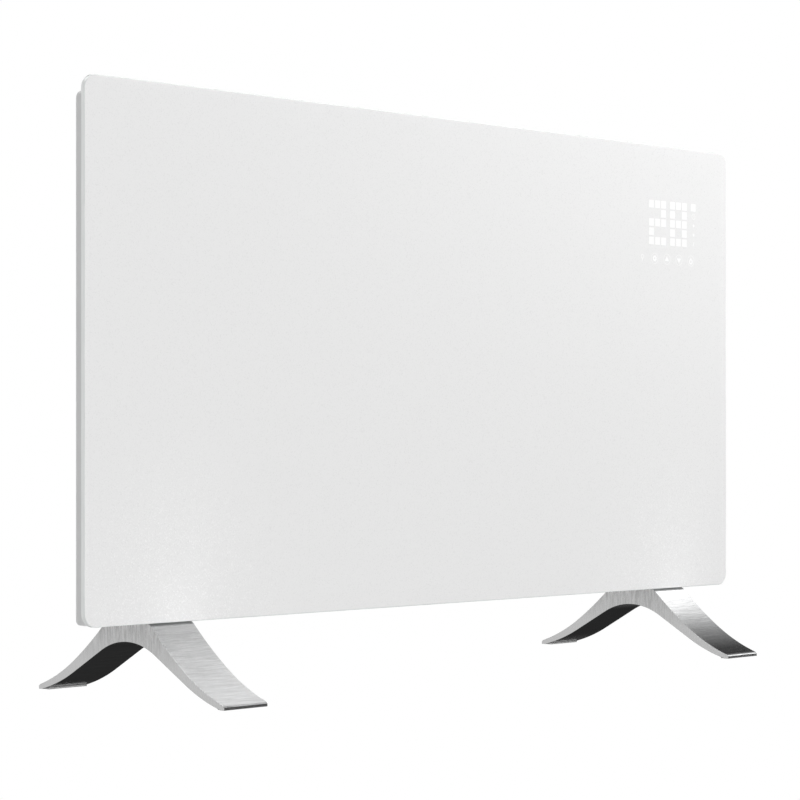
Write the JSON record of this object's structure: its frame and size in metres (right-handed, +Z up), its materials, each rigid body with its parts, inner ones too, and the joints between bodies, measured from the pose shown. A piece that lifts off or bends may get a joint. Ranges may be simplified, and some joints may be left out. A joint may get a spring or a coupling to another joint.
{
  "type": "glass front panel convector heater",
  "caption": "Panel convector heater with a white glass front, pressed steel rear casing, louvred outlet, finned elements and arched metal feet.",
  "frame": {"origin": "on the floor, under the middle of the heater", "axes": "+X to the right seen from the front, +Y from the glass towards the wall, +Z up"},
  "size_m": [0.854, 0.2506, 0.523],
  "materials": {
    "satin_glass": "white painted tempered glass, satin face",
    "white_paint": "fine textured white powder coat",
    "white_plastic": "moulded white plastic",
    "brushed_metal": "brushed and lightly polished aluminium",
    "zinc_steel": "zinc plated steel",
    "fin_aluminium": "extruded aluminium, mill finish",
    "grey_rubber": "soft grey foam and rubber",
    "dark_plastic": "moulded dark plastic",
    "circuit_board": "green solder mask",
    "ceramic": "unglazed steatite ceramic",
    "red_insulation": "red silicone insulation"
  },
  "bodies": {
    "root": {"front_glass": "satin_glass", "glass_gasket": "grey_rubber", "chassis_plate": "zinc_steel", "rear_casing": "white_paint", "outlet_grille": "white_plastic", "casing_screw_1": "zinc_steel", "casing_screw_2": "zinc_steel", "casing_screw_3": "zinc_steel", "casing_screw_4": "zinc_steel", "casing_screw_5": "zinc_steel", "casing_screw_6": "zinc_steel", "foot_left": "brushed_metal", "foot_nut_plate_left": "zinc_steel", "foot_pad_left_front": "grey_rubber", "foot_screw_left_front": "zinc_steel", "foot_pad_left_rear": "grey_rubber", "foot_screw_left_rear": "zinc_steel", "foot_right": "brushed_metal", "foot_nut_plate_right": "zinc_steel", "foot_pad_right_front": "grey_rubber", "foot_screw_right_front": "zinc_steel", "foot_pad_right_rear": "grey_rubber", "foot_screw_right_rear": "zinc_steel", "finned_element_lower": "fin_aluminium", "sheath_rod_lower": "zinc_steel", "end_insulator_lower_left": "ceramic", "end_insulator_lower_right": "ceramic", "finned_element_upper": "fin_aluminium", "sheath_rod_upper": "zinc_steel", "end_insulator_upper_left": "ceramic", "end_insulator_upper_right": "ceramic", "element_bracket_left": "zinc_steel", "element_bracket_right": "zinc_steel", "heat_shield": "fin_aluminium", "outlet_deflector": "zinc_steel", "thermal_cutout": "dark_plastic", "room_sensor": "dark_plastic", "control_box_base": "dark_plastic", "control_box_cover": "dark_plastic", "power_board": "circuit_board", "display_board": "circuit_board", "relay_1": "dark_plastic", "relay_2": "dark_plastic", "power_supply": "dark_plastic", "touch_film": "dark_plastic", "main_switch_housing": "dark_plastic", "cable_gland": "dark_plastic", "terminal_block": "white_plastic", "display_light_guide": "white_plastic", "tip_switch_housing": "white_plastic", "ribbon_cable": "grey_rubber", "hook_plate_left": "zinc_steel", "hook_plate_right": "zinc_steel", "element_lead_lower": "red_insulation", "element_lead_upper": "red_insulation", "element_link": "red_insulation"},
    "tip_pendulum": {"tip_switch_pendulum": "zinc_steel"},
    "switch_rocker": {"main_switch_rocker": "dark_plastic"}
  },
  "joints": [
    {"name": "main_switch_rock", "type": "hinge", "parent": "root", "child": "switch_rocker", "pos_m": [0.41845, -0.01688, 0.1264], "axis": [0, 1, 0], "range_deg": [-14, 0]},
    {"name": "tip_swing", "type": "hinge", "parent": "root", "child": "tip_pendulum", "pos_m": [0.3, -0.01118, 0.1284], "axis": [1, 0, 0], "range_deg": [-20, 20]}
  ]
}
